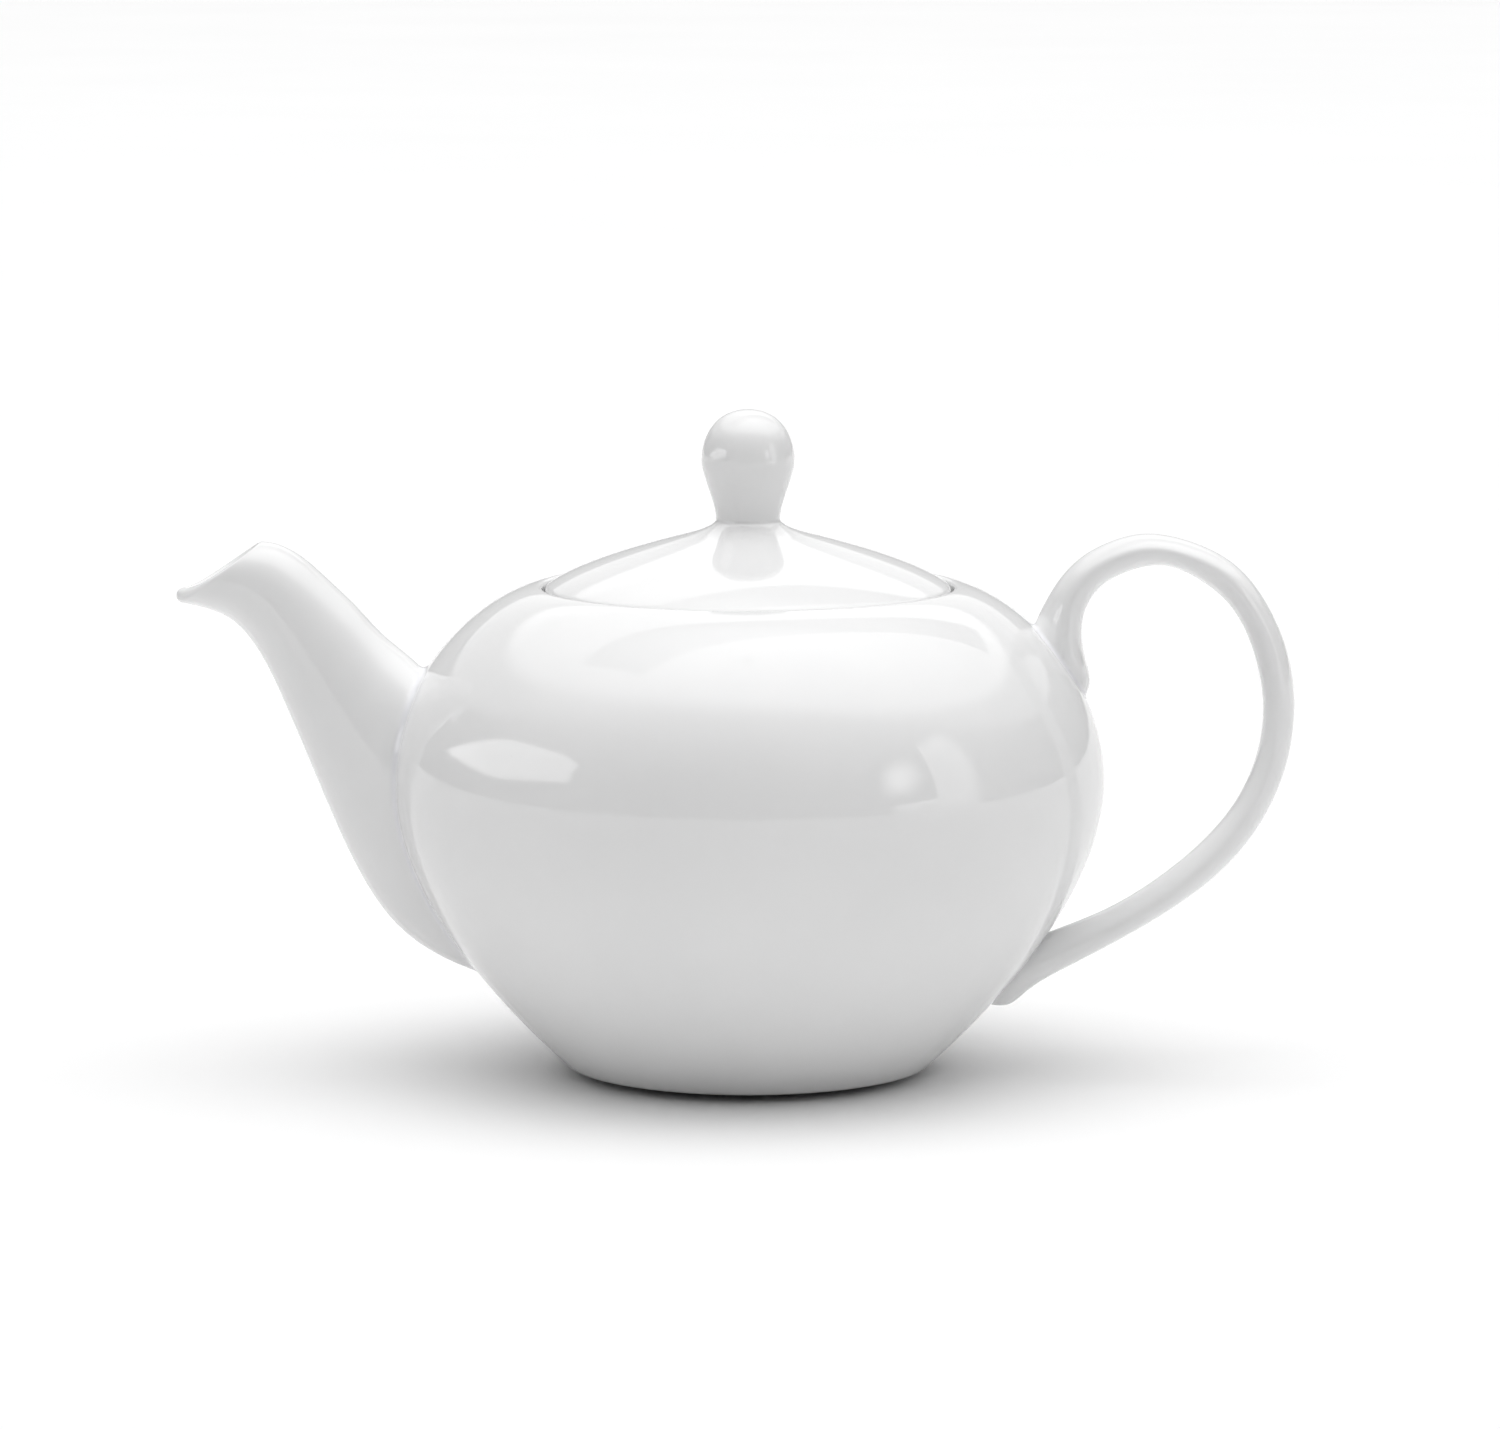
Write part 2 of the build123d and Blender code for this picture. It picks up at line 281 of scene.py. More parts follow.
class Tube:
    """Oval tube through stations of (edge, other edge, half width).

    The edges are (x, z) points seen from the side, and the width lies along Y.
    roundness is 1 for an ellipse, and more makes the section more pointed.
    """

    def __init__(self, stations, roundness=1.0):
        edges = [(np.array(a, float), np.array(b, float), w) for a, b, w in stations]
        middles = [(a + b) / 2 for a, b, w in edges]
        reaches = [(a - b) / 2 for a, b, w in edges]
        gaps = [np.linalg.norm(q - p) for p, q in zip(middles, middles[1:])]
        self.knots = np.concatenate([[0.0], np.cumsum(gaps)])
        self.middle = smooth_cubic(self.knots, middles)
        self.reach = smooth_cubic(self.knots, reaches)
        self.width = smooth_cubic(self.knots, [[w] for a, b, w in edges])
        self.end = self.knots[-1]
        self.roundness = roundness

    def at(self, t, turn, inset=0.0):
        """Surface point at a place t along the tube and a turn about it.

        inset is how far inside the tube's surface it lies.
        """
        t, turn, inset = np.broadcast_arrays(np.asarray(t, float), turn, inset)
        middle = self.middle(t)
        reach = self.reach(t)
        length = np.linalg.norm(reach, axis=-1)
        scale = (length - inset) / length
        cos, sin = np.cos(turn), np.sin(turn)
        along = np.sign(cos) * np.abs(cos) ** self.roundness * scale
        side = np.sign(sin) * np.abs(sin) ** self.roundness * (self.width(t)[..., 0] - inset)
        outline = middle + reach * along[..., None]
        return np.stack([outline[..., 0], side, outline[..., 1]], -1)

    def normals(self, t, turn):
        """Outward normals at a place and a turn."""
        t = np.clip(t, 0.1, self.end - 0.1)
        along = self.at(t + 0.1, turn) - self.at(t - 0.1, turn)
        around = self.at(t, turn + 0.02) - self.at(t, turn - 0.02)
        normal = np.cross(around, along)
        normal /= np.linalg.norm(normal, axis=-1, keepdims=True)
        away = self.at(t, turn) - self.at(t, turn + math.pi)
        return normal * np.sign((normal * away).sum(axis=-1, keepdims=True))

    def crossing(self, turn, inset=0.0, from_end=False):
        """Place along the tube where it comes out of the pot, at each turn."""
        ends = (self.end, 0) if from_end else (0, self.end)
        steps = np.linspace(*ends, CROSSING_STEPS)
        found = []
        for angle in np.atleast_1d(turn):
            points = self.at(steps, angle, inset)
            out = np.hypot(points[:, 0], points[:, 1]) - body_radius(points[:, 2])
            last = np.where(out[:CROSSING_STEPS // 2] < 0)[0].max()
            share = out[last] / (out[last] - out[last + 1])
            found.append(steps[last] + share * (steps[last + 1] - steps[last]))
        return np.array(found)


ROOT_ROWS = 9              # rows of a glaze fillet
ROOT_PULL = 0.62           # how far its curve is drawn into the corner
ROOT_SINK = 0.04           # how far its foot is let into the pot's side
HIDDEN_SINK = 0.5          # the same for the closing rows inside the wall


def root_rows(tube, turns, reach, from_end=False):
    """Rows of a glaze fillet from the pot's side up onto the tube.

    Returns the rows, how deep the glaze lies in them (which also paints shade into
    the corner), the place along the tube where each column leaves the fillet, and
    the line where the bare shapes meet.
    """
    sign = -1 if from_end else 1
    place = tube.crossing(turns, 0.0, from_end)
    corner = tube.at(place, turns)
    slope = (tube.at(place + sign * 0.05, turns) - corner) / 0.05
    start = place + sign * reach / np.maximum(np.linalg.norm(slope, axis=1), 0.35)
    leave = tube.at(start, turns)
    normal = body_normal(corner)
    along = np.roll(corner, -1, axis=0) - np.roll(corner, 1, axis=0)
    outward = np.cross(along, normal)
    outward /= np.linalg.norm(outward, axis=1, keepdims=True)
    centre = corner.mean(axis=0)
    facing = np.sign(((corner - centre) * outward).sum(axis=1))
    outward *= np.sign(facing.sum())
    foot = onto_body(corner + outward * reach, -ROOT_SINK)
    rows = []
    pool_shades = []
    a = foot + (corner - foot) * ROOT_PULL
    b = leave + (corner - leave) * ROOT_PULL
    for t in np.linspace(0, 1, ROOT_ROWS):
        rows.append(cubic(t, foot, a, b, leave))
        # glaze lies deepest mid-fillet, and the same value paints shade into the corner
        pool_shades.append(np.full(len(turns), math.sin(math.pi * t) ** 2))
    return rows, pool_shades, start, corner


def skin(rows, closed_ends=False):
    """Vertices and faces that join rings of equal length, with optional fans at the ends."""
    count = len(rows[0])
    vertices = [p for row in rows for p in row]
    faces = []
    for index in range(len(rows) - 1):
        a, b = index * count, (index + 1) * count
        for turn in range(count):
            after = (turn + 1) % count
            faces.append((a + turn, a + after, b + after, b + turn))
    if closed_ends:
        for index, way in ((0, -1), (len(rows) - 1, 1)):
            centre = len(vertices)
            vertices.append(rows[index].mean(axis=0))
            for turn in range(count):
                after = (turn + 1) % count
                faces.append((index * count + turn, index * count + after, centre)[::way])
    return vertices, faces


# ---- spout ---------------------------------------------------------------
SPOUT = Tube([
    ((-58.0, 74.0), (-50.0, 19.5), 17.0),
    ((-73.5, 91.4), (-62.6, 22.9), 16.2),
    ((-80.5, 97.4), (-76.0, 30.4), 15.3),
    ((-86.5, 103.7), (-88.0, 46.8), 14.0),
    ((-91.5, 108.7), (-97.0, 67.5), 12.5),
    ((-96.5, 113.4), (-103.6, 83.4), 11.0),
    ((-101.0, 116.9), (-109.6, 95.6), 9.4),
    ((-105.0, 118.8), (-116.0, 102.5), 7.8),
    ((-109.4, 119.4), (-127.8, 106.0), 6.2),
])
SPOUT_WALL_ROOT, SPOUT_WALL_MOUTH = 3.4, 2.2
LIP_TOP, LIP_EXTRA = 2.3, 1.0      # lip thickness above, and how much more below
LIP_BULGE = 0.67                   # makes the lip's edge about a half circle
BORE_INSET = 3.3                   # how far in from the spout's side the bore meets the pot
SPOUT_FILLET = 2.2
spout_turns = np.arange(SPOUT_SIDES) * 2 * math.pi / SPOUT_SIDES


def spout_inset(t):
    """Wall thickness at a place t along the spout."""
    return SPOUT_WALL_ROOT + (SPOUT_WALL_MOUTH - SPOUT_WALL_ROOT) * np.asarray(t) / SPOUT.end


def spout_bore(t, wall):
    """Inner surface at one place t for each turn: square to the outer wall near the mouth.

    wall is the thickness there at each turn.  The two ways of measuring the wall
    are blended from 55 % to 85 % of the spout's length.
    """
    plain = SPOUT.at(t, spout_turns, spout_inset(t))
    square = SPOUT.at(t, spout_turns) - SPOUT.normals(t, spout_turns) * wall[:, None]
    share = np.clip((t / SPOUT.end - 0.55) / 0.3, 0.0, 1.0)
    share = (share**2 * (3 - 2 * share))[:, None]
    return plain * (1 - share) + square * share


def make_spout():
    """The spout, and the line where it meets the pot."""
    rows, pool_shades, start, corner = root_rows(SPOUT, spout_turns, SPOUT_FILLET)
    wall = LIP_TOP + LIP_EXTRA * (1 - np.cos(spout_turns)) / 2
    last_step = SPOUT.at(SPOUT.end, spout_turns) - SPOUT.at(SPOUT.end - 0.5, spout_turns)
    speed = np.linalg.norm(last_step, axis=1) / 0.5
    lip = SPOUT.end - 0.5 * wall / speed
    for share in np.linspace(0, 1, 90)[1:]:
        rows.append(SPOUT.at(start + (lip - start) * share, spout_turns))
        pool_shades.append(np.zeros(SPOUT_SIDES))
    outer = rows[-1]
    inner = spout_bore(lip, wall)
    out_way = outer - SPOUT.at(lip - 0.3, spout_turns)
    out_way /= np.linalg.norm(out_way, axis=1, keepdims=True)
    a = outer + out_way * wall[:, None] * LIP_BULGE
    b = inner + out_way * wall[:, None] * LIP_BULGE
    for t in np.linspace(0, 1, 16)[1:]:
        rows.append(cubic(t, outer, a, b, inner))
        pool_shades.append(np.zeros(SPOUT_SIDES))
    bottom = SPOUT.crossing(spout_turns, BORE_INSET)
    for share in np.linspace(0, 1, 70)[1:]:
        rows.append(spout_bore(lip + (bottom - lip) * share, wall))
        # painted shade: the bore is darkened more the deeper it runs into the spout
        pool_shades.append(np.full(SPOUT_SIDES, 0.3 * share))
    rows.append(onto_body(rows[-1], -HIDDEN_SINK))
    rows.append(onto_body(rows[0], -HIDDEN_SINK))
    pool_shades += [np.zeros(SPOUT_SIDES)] * 2
    vertices, faces = skin(rows)
    last = (len(rows) - 1) * SPOUT_SIDES
    for i in range(SPOUT_SIDES):
        j = (i + 1) % SPOUT_SIDES
        faces.append((last + i, last + j, j, i))
    return make_mesh("glazed_spout", vertices, faces, np.concatenate(pool_shades)), corner


# ---- handle --------------------------------------------------------------
HANDLE = Tube([
    ((58.0, 91.0), (69.0, 76.5), 8.4),
    ((64.3, 101.3), (75.1, 84.4), 8.4),
    ((65.3, 103.6), (76.4, 87.8), 8.2),
    ((66.7, 106.3), (75.3, 93.4), 7.6),
    ((69.8, 111.2), (74.8, 102.4), 6.9),
    ((74.5, 115.9), (77.7, 108.4), 6.5),
    ((81.5, 119.6), (83.0, 112.1), 6.3),
    ((90.0, 121.1), (90.1, 114.1), 6.2),
    ((100.7, 118.6), (97.2, 112.8), 6.2),
    ((111.0, 111.9), (105.8, 107.0), 6.2),
    ((118.6, 99.8), (111.6, 98.2), 6.2),
    ((122.2, 82.0), (115.2, 82.0), 6.2),
    ((119.6, 66.3), (112.8, 68.0), 6.2),
    ((111.8, 51.5), (106.0, 56.2), 6.2),
    ((97.5, 38.2), (92.9, 44.0), 6.3),
    ((83.0, 29.3), (79.5, 35.8), 6.6),
    ((72.5, 23.7), (69.2, 31.6), 7.0),
    ((62.5, 17.6), (59.5, 26.5), 7.2),
    ((57.5, 14.5), (54.0, 22.0), 6.6),
    ((52.0, 15.4), (50.0, 20.5), 5.4),
], roundness=1.06)
HANDLE_FILLETS = (1.3, 1.0)        # at the shoulder and on the flank
handle_turns = np.arange(HANDLE_SIDES) * 2 * math.pi / HANDLE_SIDES


def make_handle():
    """The handle, and the two lines where it meets the pot."""
    top_reach, low_reach = HANDLE_FILLETS
    rows, pool_shades, start, top_corner = root_rows(HANDLE, handle_turns, top_reach)
    far_rows, far_pool_shades, finish, low_corner = root_rows(
        HANDLE, handle_turns, low_reach, from_end=True
    )
    for share in np.linspace(0, 1, 240)[1:-1]:
        rows.append(HANDLE.at(start + (finish - start) * share, handle_turns))
        pool_shades.append(np.zeros(HANDLE_SIDES))
    rows += far_rows[::-1]
    pool_shades += far_pool_shades[::-1]
    rows.insert(0, onto_body(rows[0], -HIDDEN_SINK))
    rows.append(onto_body(rows[-1], -HIDDEN_SINK))
    pool_shades = [np.zeros(HANDLE_SIDES)] + pool_shades + [np.zeros(HANDLE_SIDES)]
    vertices, faces = skin(rows, closed_ends=True)
    pool_shades = np.concatenate(pool_shades + [np.zeros(2)])
    return make_mesh("glazed_handle", vertices, faces, pool_shades), np.vstack([top_corner, low_corner])


POOL_SHADE_WIDTH = 1.3           # how far glaze gathers, and painted shade spreads, from a corner


def pool_shade_near_roots(corners):
    """Function for how thick glaze lies on the pot where other pieces meet it, and for the
    painted shade in those corners.
    """

    def pool_shade_at(vertices):
        pool_shade = np.zeros(len(vertices))
        out = np.hypot(vertices[:, 0], vertices[:, 1]) - body_radius(vertices[:, 2])
        chosen = np.where((np.abs(out) < 0.6) & (np.abs(vertices[:, 0]) > 45))[0]
        # in 40 parts, to keep the table of distances small
        for part in np.array_split(chosen, 40):
            gap = np.linalg.norm(vertices[part, None] - corners[None], axis=2).min(axis=1)
            pool_shade[part] = np.exp(-((gap / POOL_SHADE_WIDTH) ** 2))
        return pool_shade

    return pool_shade_at


def pierce(target, name, centres, length, axis):
    """Cuts round holes through a mesh with rods that lie along X or Z."""
    vertices = []
    faces = []
    for centre in centres:
        base = len(vertices)
        top = base + HOLE_SIDES
        for end in (-0.5, 0.5):
            for side in range(HOLE_SIDES):
                angle = side * 2 * math.pi / HOLE_SIDES
                u, v = HOLE_R * math.cos(angle), HOLE_R * math.sin(angle)
                offset = (length * end, u, v) if axis == "X" else (u, v, length * end)
                vertices.append(np.array(centre) + offset)
        faces.append(tuple(base + i for i in range(HOLE_SIDES))[::-1])
        faces.append(tuple(top + i for i in range(HOLE_SIDES)))
        for i in range(HOLE_SIDES):
            j = (i + 1) % HOLE_SIDES
            faces.append((base + i, base + j, top + j, top + i))
    cutter = make_mesh(name + "_cutter", vertices, faces)
    cut = target.modifiers.new("holes", "BOOLEAN")
    cut.operation = "DIFFERENCE"
    cut.solver = "EXACT"
    cut.object = cutter
    depsgraph = bpy.context.evaluated_depsgraph_get()
    result = bpy.data.meshes.new_from_object(target.evaluated_get(depsgraph))
    target.modifiers.clear()
    target.data = result
    bpy.data.objects.remove(cutter)


# unglazed zones, for turned()
FOOT_RING = (28.0, 31.4, -0.1, 0.3)
LID_LEDGE = (40.0, 45.2, 105.0, 105.4)
LID_SEAT = (38.6, 44.6, 105.0, 105.4)
STRAINER_Z = 58.0
STRAINER_ROWS = ((-3, 2), (-2, 3), (-1, 4), (0, 3), (1, 4), (2, 3), (3, 2))  # (row, holes)

spout, spout_corner = make_spout()
handle, handle_corners = make_handle()
pot = turned(
    "glazed_pot",
    pot_outline,
    pool_shade_near_roots(np.vstack([spout_corner, handle_corners])),
    bare_between=[FOOT_RING, LID_LEDGE],
)
strainer = []
for row, holes in STRAINER_ROWS:
    for place in range(holes):
        across = (place - (holes - 1) / 2) * HOLE_PITCH
        strainer.append((-BELLY_R, across, STRAINER_Z + row * HOLE_PITCH))
pierce(pot, "strainer", strainer, 24.0, "X")
lid = turned("glazed_lid", lid_outline, bare_between=[LID_SEAT])
pierce(lid, "vent", [(0.0, 19.0, 121.4)], 15.0, "Z")
knob = turned("glazed_knob", knob_outline)


# ---- glaze and bare clay -------------------------------------------------
GLAZE_DARK, GLAZE_LIGHT = (0.845, 0.846, 0.848), (0.875, 0.875, 0.876)
# cool, darker tint where glaze gathers in corners: partly the glaze's own tint, partly painted
# shade
GLAZE_POOLED_SHADE = (0.74, 0.74, 0.81, 1.0)
POOL_SHADE_SHARE = 0.4           # of the pooled colour, where the glaze lies thickest; its darkening is painted shade
SPECK = (0.45, 0.42, 0.38, 1.0)
SPECK_SHARE = 0.35
SPECK_CELLS = 0.93         # cells above this random value hold a pinhole
CLAY_DARK, CLAY_LIGHT = (0.66, 0.64, 0.60), (0.74, 0.72, 0.69)
WHITE, BLACK = (1, 1, 1), (0, 0, 0)
WAVE_DEPTH = 0.0004        # metres: slow waves in the glaze, its fine peel, the clay's grain
PEEL_DEPTH = 0.00005
GRAIN_DEPTH = 0.0001
SHARP_ANGLE = math.radians(38)


def shader(name):
    """New material, its nodes and links, its shader, and the place on the object."""
    material = bpy.data.materials.new(name)
    material.use_nodes = True
    nodes = material.node_tree.nodes
    links = material.node_tree.links
    principled = nodes["Principled BSDF"]
    place = nodes.new("ShaderNodeTexCoord").outputs["Object"]
    return material, nodes, links, principled, place


def feed(links, socket, value):
    """Sets a socket to a number or colour, or links another output to it."""
    if hasattr(value, "is_output"):
        links.new(value, socket)
    else:
        socket.default_value = value


def math_node(nodes, links, operation, *values):
    """Output of a maths node fed with numbers or other outputs."""
    node = nodes.new("ShaderNodeMath")
    node.operation = operation
    for socket, value in zip(node.inputs, values):
        feed(links, socket, value)
    return node.outputs[0]


def noise(nodes, links, place, scale, detail=3.0, roughness=0.5):
    """Noise from 0 to 1, with features about 1/scale metres across."""
    node = nodes.new("ShaderNodeTexNoise")
    node.inputs["Scale"].default_value = scale
    node.inputs["Detail"].default_value = detail
    node.inputs["Roughness"].default_value = roughness
    links.new(place, node.inputs["Vector"])
    return node.outputs["Fac"]


def ramp(nodes, links, value, stops):
    """Colour by value, through stops of (value, colour)."""
    node = nodes.new("ShaderNodeValToRGB")
    elements = node.color_ramp.elements
    while len(elements) < len(stops):
        elements.new(0.5)
    for element, (position, colour) in zip(elements, stops):
        element.position = position
        element.color = (*colour, 1.0)
    links.new(value, node.inputs["Fac"])
    return node.outputs["Color"]


def blend_colour(nodes, links, share, first, second):
    """First colour with a share of the second."""
    node = nodes.new("ShaderNodeMix")
    node.data_type = "RGBA"
    for name, value in (("Factor", share), ("A", first), ("B", second)):
        feed(links, node.inputs[name], value)
    return node.outputs["Result"]


def remap(nodes, links, value, low, high):
    """Noise spread over low to high."""
    node = nodes.new("ShaderNodeMapRange")
    node.inputs["From Min"].default_value = 0.3
    node.inputs["From Max"].default_value = 0.7
    node.inputs["To Min"].default_value = low
    node.inputs["To Max"].default_value = high
    links.new(value, node.inputs["Value"])
    return node.outputs["Result"]


def glaze(name, shift):
    """White gloss glaze: faint cloudiness, pinholes and a cool tint where it gathers,
    darker there as painted shade.

    shift moves the pattern, so that no two pieces have the same.
    """
    material, nodes, links, principled, place = shader(name)
    move = nodes.new("ShaderNodeVectorMath")
    move.operation = "ADD"
    move.inputs[1].default_value = (shift, shift * 0.7, -shift)
    links.new(place, move.inputs[0])
    here = move.outputs["Vector"]
    cloud = noise(nodes, links, here, 28.0, 4.0)
    colour = ramp(nodes, links, cloud, [(0.3, GLAZE_DARK), (0.7, GLAZE_LIGHT)])
    # tint where the glaze gathers, partly painted shade in the corners
    pool_shade = nodes.new("ShaderNodeAttribute")
    pool_shade.attribute_name = "glaze_pool_shade"
    pooled_shade = math_node(nodes, links, "MULTIPLY", pool_shade.outputs["Fac"], POOL_SHADE_SHARE)
    colour = blend_colour(nodes, links, pooled_shade, colour, GLAZE_POOLED_SHADE)
    cells = nodes.new("ShaderNodeTexVoronoi")
    cells.inputs["Scale"].default_value = 60.0
    links.new(here, cells.inputs["Vector"])
    speck = ramp(
        nodes, links, cells.outputs["Distance"], [(0.0, WHITE), (0.018, WHITE), (0.026, BLACK)]
    )
    split = nodes.new("ShaderNodeSeparateColor")
    links.new(cells.outputs["Color"], split.inputs["Color"])
    chosen = math_node(nodes, links, "GREATER_THAN", split.outputs["Red"], SPECK_CELLS)
    speck = math_node(nodes, links, "MULTIPLY", speck, chosen)
    faint = math_node(nodes, links, "MULTIPLY", speck, SPECK_SHARE)
    colour = blend_colour(nodes, links, faint, colour, SPECK)
    links.new(colour, principled.inputs["Base Color"])
    smear = noise(nodes, links, here, 55.0, 5.0, 0.6)
    links.new(remap(nodes, links, smear, 0.02, 0.05), principled.inputs["Roughness"])
    principled.inputs["IOR"].default_value = 1.52
    wave = nodes.new("ShaderNodeBump")
    wave.inputs["Strength"].default_value = 0.35
    wave.inputs["Distance"].default_value = WAVE_DEPTH
    links.new(noise(nodes, links, here, 16.0, 1.0), wave.inputs["Height"])
    peel = nodes.new("ShaderNodeBump")
    peel.inputs["Strength"].default_value = 0.12
    peel.inputs["Distance"].default_value = PEEL_DEPTH
    links.new(noise(nodes, links, here, 420.0, 2.0), peel.inputs["Height"])
    links.new(wave.outputs["Normal"], peel.inputs["Normal"])
    links.new(peel.outputs["Normal"], principled.inputs["Normal"])
    return material


def bare_clay(name):
    """Unglazed fired porcelain: matt, slightly warm, with a fine tooth."""
    material, nodes, links, principled, place = shader(name)
    cloud = noise(nodes, links, place, 90.0, 5.0)
    colour = ramp(nodes, links, cloud, [(0.3, CLAY_DARK), (0.7, CLAY_LIGHT)])
    links.new(colour, principled.inputs["Base Color"])
    grain = noise(nodes, links, place, 1500.0, 4.0, 0.7)
    links.new(remap(nodes, links, grain, 0.6, 0.8), principled.inputs["Roughness"])
    bump = nodes.new("ShaderNodeBump")
    bump.inputs["Strength"].default_value = 0.5
    bump.inputs["Distance"].default_value = GRAIN_DEPTH
    links.new(grain, bump.inputs["Height"])
    links.new(bump.outputs["Normal"], principled.inputs["Normal"])
    return material


clay = bare_clay("bare_clay")
for piece, node, body, slot, shift in (
    (pot, "pot_body", "teapot", "pot_glaze", 0.0),
    (spout, "spout", "teapot", "spout_glaze", 0.31),
    (handle, "handle", "teapot", "handle_glaze", 0.57),
    (lid, "lid", "lid_assembly", "lid_glaze", 0.83),
    (knob, "lid_knob", "lid_assembly", "knob_glaze", 1.19),
):
    piece.data.materials.clear()
    piece.data.materials.append(glaze(slot, shift))
    piece.data.materials.append(clay)
    piece.data.set_sharp_from_angle(angle=SHARP_ANGLE)
    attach(piece, body)
    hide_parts(node)


# ---- floor, light and camera ---------------------------------------------
FLOOR_DARK, FLOOR_LIGHT = (0.935, 0.935, 0.935), (0.95, 0.95, 0.95)
EAST, NORTH, UP = (1.0, 0.0, 0.0), (0.0, 1.0, 0.0), (0.0, 0.0, 1.0)
SOUTH = (0.0, -1.0, 0.0)
LAMP_FACTOR = 4.0          # lamp power per square metre and unit of radiance


def make_floor():
    """Pale round floor, in rings whose radii are in metres."""
    sides = 128
    vertices = [(0.0, 0.0, TABLE_Z)]
    faces = []
    for level, radius in enumerate((0.6, 2.0, 6.0, 12.0)):
        base = len(vertices)
        for i in range(sides):
            angle = 2 * math.pi * i / sides
            vertices.append((radius * math.cos(angle), radius * math.sin(angle), TABLE_Z))
        for i in range(sides):
            j = (i + 1) % sides
            if level == 0:
                faces.append((0, base + i, base + j))
            else:
                faces.append((base - sides + i, base + i, base + j, base - sides + j))
    mesh = bpy.data.meshes.new("floor")
    mesh.from_pydata(vertices, [], faces)
    floor = bpy.data.objects.new("floor", mesh)
    bpy.context.scene.collection.objects.link(floor)
    material, nodes, links, principled, place = shader("floor_paint")
    cloud = noise(nodes, links, place, 3.0)
    colour = ramp(nodes, links, cloud, [(0.3, FLOOR_DARK), (0.7, FLOOR_LIGHT)])
    links.new(colour, principled.inputs["Base Color"])
    principled.inputs["Roughness"].default_value = 0.8
    principled.inputs["Specular IOR Level"].default_value = 0.1
    mesh.materials.append(material)


def glow_card(name, centre, across, up, shape, radiance, soft, bar=None):
    """Flat lamp that only shows in the glaze.

    across and up are its own axes.  shape is a convex outline, counter-clockwise,
    in metres from the centre, or a single radius for a round one.  Its edge fades
    over soft metres to each side.  bar is (offset, turn, half width, half length,
    share kept) of a darker bar over it.
    """
    across, up = Vector(across), Vector(up)
    is_round = isinstance(shape, float)
    half = soft + (shape if is_round else max(max(abs(u), abs(v)) for u, v in shape))
    data = bpy.data.lights.new(name, "AREA")
    data.shape = "SQUARE"
    data.size = 2 * half
    data.energy = LAMP_FACTOR * (2 * half) ** 2 * radiance
    data.use_nodes = True
    nodes = data.node_tree.nodes
    links = data.node_tree.links
    split = nodes.new("ShaderNodeSeparateXYZ")
    links.new(nodes.new("ShaderNodeNewGeometry").outputs["Parametric"], split.inputs[0])

    def node(operation, *values):
        return math_node(nodes, links, operation, *values)

    # metres from the centre along the lamp's own axes
    u = node("MULTIPLY_ADD", split.outputs["X"], 2 * half, -half)
    v = node("MULTIPLY_ADD", split.outputs["Y"], 2 * half, -half)

    def faded(distance, edge):
        """1 where the distance is well below the edge, 0 well above."""
        fade = nodes.new("ShaderNodeMapRange")
        fade.interpolation_type = "SMOOTHSTEP"
        fade.inputs["From Min"].default_value = edge + soft
        fade.inputs["From Max"].default_value = edge - soft
        links.new(distance, fade.inputs["Value"])
        return fade.outputs["Result"]

    def along_way(way):
        """Distance from the centre along a unit direction."""
        return node("MULTIPLY_ADD", v, way[1], node("MULTIPLY", u, way[0]))

    if is_round:
        squares = [node("POWER", node("ABSOLUTE", w), 2.0) for w in (u, v)]
        strength = faded(node("SQRT", node("ADD", *squares)), shape)
    else:
        strength = 1.0
        for (u0, v0), (u1, v1) in zip(shape, shape[1:] + shape[:1]):
            way = Vector((v1 - v0, u0 - u1)).normalized()
            side = faded(along_way(way), way.x * u0 + way.y * v0)
            strength = node("MULTIPLY", strength, side)
    if bar:
        offset, turn, half_width, half_length, kept = bar
        from_bar = node("SUBTRACT", along_way((-math.sin(turn), math.cos(turn))), offset)
        along_bar = along_way((math.cos(turn), math.sin(turn)))
        in_width = node("LESS_THAN", node("ABSOLUTE", from_bar), half_width)
        in_length = node("LESS_THAN", node("ABSOLUTE", along_bar), half_length)
        on_bar = node("MULTIPLY", in_width, in_length)
        strength = node("MULTIPLY", strength, node("MULTIPLY_ADD", on_bar, kept - 1.0, 1.0))
    links.new(strength, nodes["Emission"].inputs["Strength"])
    lamp = bpy.data.objects.new(name, data)
    bpy.context.scene.collection.objects.link(lamp)
    facing = across.cross(up)
    lamp.matrix_world = Matrix((
        (across.x, up.x, facing.x, centre[0]),
        (across.y, up.y, facing.y, centre[1]),
        (across.z, up.z, facing.z, centre[2]),
        (0.0, 0.0, 0.0, 1.0),
    ))
    lamp.visible_camera = False
    lamp.visible_diffuse = False


def key_lamp(name, centre, width, height, radiance):
    """Large plain lamp overhead that lights the piece and the floor but does not glint."""
    data = bpy.data.lights.new(name, "AREA")
    data.shape = "RECTANGLE"
    data.size = width
    data.size_y = height
    data.energy = LAMP_FACTOR * width * height * radiance
    lamp = bpy.data.objects.new(name, data)
    bpy.context.scene.collection.objects.link(lamp)
    lamp.location = centre
    lamp.visible_camera = False
    lamp.visible_glossy = False


# radiance of the room by the sine of the elevation, on each side of the pot
SKY_HEIGHTS = [0.0, 0.2, 0.4, 0.62, 0.85, 1.0]
SKY = (
    ("Y", -1.0, [0.1, 0.02, 0.03, 0.46, 1.65, 2.75]),  # front
    ("Y", 1.0, [0.53, 0.6, 0.45, 0.15, 0.9, 2.75]),    # back
    ("X", -1.0, [0.1, 0.03, 0.07, 0.65, 1.7, 2.75]),   # left
    ("X", 1.0, [0.1, 0.05, 0.3, 1.05, 2.0, 2.75]),     # right
)
SKY_STRENGTH = 8.0         # the ramps hold radiances as shares of this


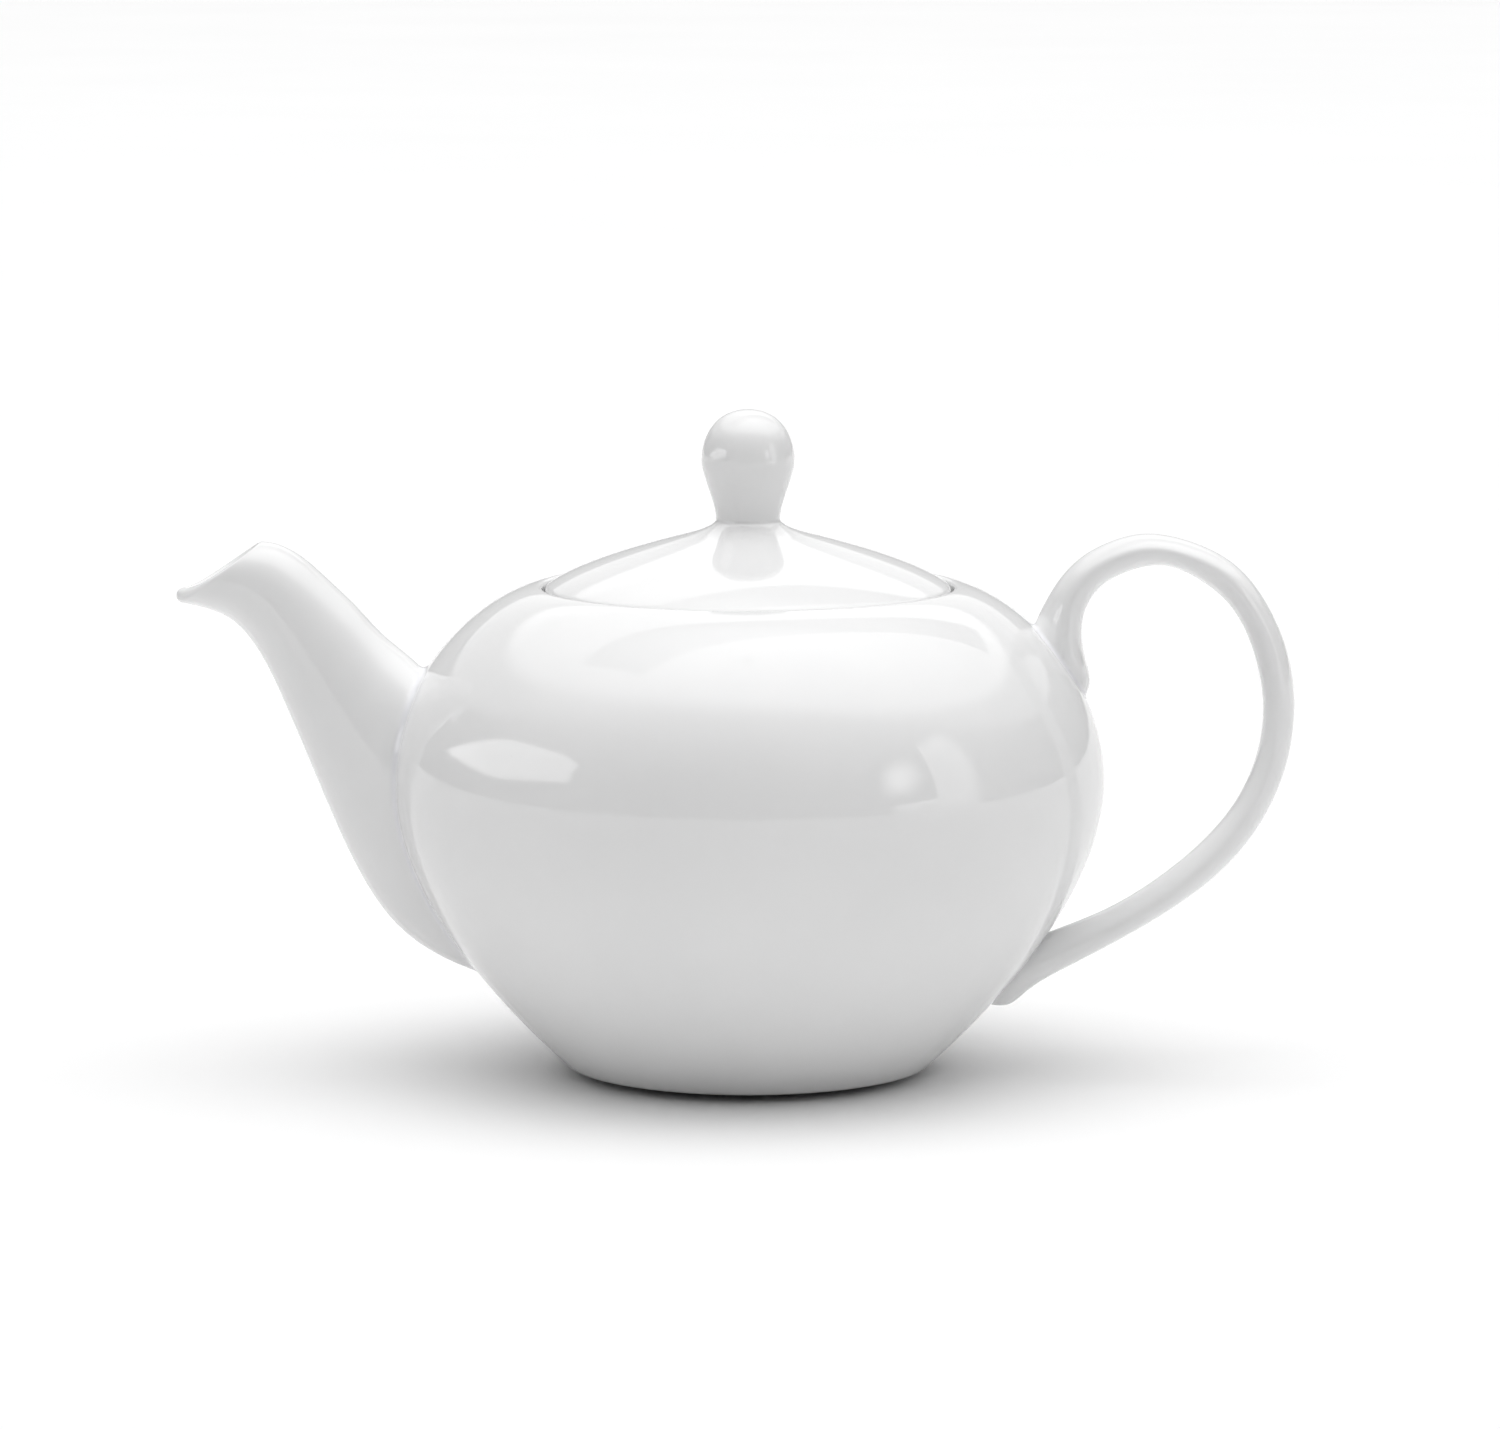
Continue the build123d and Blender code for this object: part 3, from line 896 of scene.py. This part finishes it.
def make_room():
    """Soft room light without lamps: four sides, blended by the square of their part."""
    world = bpy.data.worlds.new("studio")
    bpy.context.scene.world = world
    world.use_nodes = True
    nodes = world.node_tree.nodes
    links = world.node_tree.links

    def node(operation, *values):
        return math_node(nodes, links, operation, *values)

    split = nodes.new("ShaderNodeSeparateXYZ")
    links.new(nodes.new("ShaderNodeTexCoord").outputs["Generated"], split.inputs[0])
    # a little over 1 keeps this above 0 straight up
    level_part = node("SUBTRACT", 1.0001, node("POWER", split.outputs["Z"], 2.0))
    total = 0.0
    for axis, sign, radiances in SKY:
        part = node("MAXIMUM", node("MULTIPLY", split.outputs[axis], sign), 0.0)
        share = node("DIVIDE", node("POWER", part, 2.0), level_part)
        greys = [(radiance / SKY_STRENGTH,) * 3 for radiance in radiances]
        levels = ramp(nodes, links, split.outputs["Z"], list(zip(SKY_HEIGHTS, greys)))
        total = node("ADD", total, node("MULTIPLY", share, levels))
    links.new(total, nodes["Background"].inputs["Color"])
    nodes["Background"].inputs["Strength"].default_value = SKY_STRENGTH


def make_camera():
    """Camera at the photograph's viewing angle, aimed level with the pot's axis."""
    aim_z = 80.47 * MM
    distance = 1490.6 * MM
    tilt = math.radians(8.03)
    data = bpy.data.cameras.new("camera")
    camera = bpy.data.objects.new("camera", data)
    bpy.context.scene.collection.objects.link(camera)
    height = TABLE_Z + aim_z + distance * math.sin(tilt)
    camera.location = (0.43 * MM, -distance * math.cos(tilt), height)
    camera.rotation_euler = (math.pi / 2 - tilt, 0.0, 0.0)
    data.sensor_width = 36.0
    data.lens = 159.9
    data.clip_end = 60.0
    bpy.context.scene.camera = camera


make_floor()
key_lamp("key", (0.0, 0.2, 1.6), 1.6, 1.6, 0.06)
# the large softbox overhead, with a darker bar across it, and its far end
glow_card(
    "ceiling", (0.3, 1.3, 2.0), EAST, NORTH, 2.4, 0.8, 0.25,
    bar=(-0.12, math.radians(36.5), 0.37, 1.8, 0.1),
)
glow_card("ceiling_far", (0.3, 3.4, 2.05), EAST, NORTH, 4.6, 0.5, 0.4)
# the window at the left
glow_card(
    "left_upper", (-0.5, -0.07, 0.235), SOUTH, UP,
    [
        (-0.258, -0.078), (-0.013, -0.098), (0.258, -0.028),
        (0.269, 0.076), (0.192, 0.095), (-0.036, 0.052),
    ],
    2.2, 0.012,
)
glow_card(
    "left_lower_back", (-0.5, 0.065, 0.065), SOUTH, UP,
    [(-0.12, -0.08), (0.12, -0.08), (0.12, 0.06), (-0.12, 0.06)], 1.1, 0.012,
)
glow_card(
    "left_lower_front", (-0.5, -0.21, 0.065), SOUTH, UP,
    [(-0.1, -0.08), (0.1, -0.08), (0.1, 0.07), (-0.1, 0.07)], 1.0, 0.012,
)
# the lamp at the right and the card behind it
glow_card("right_blob", (0.6, -0.53, 0.31), NORTH, UP, 0.1, 2.6, 0.08)
glow_card(
    "right_card", (0.6, -0.37, 0.27), NORTH, UP,
    [(-0.22, -0.2), (0.2, -0.2), (0.22, 0.0), (0.18, 0.2), (-0.22, 0.2)], 1.5, 0.04,
)
make_room()
make_camera()
bpy.context.scene.view_settings.view_transform = "Standard"
bpy.context.scene.view_settings.exposure = -0.06
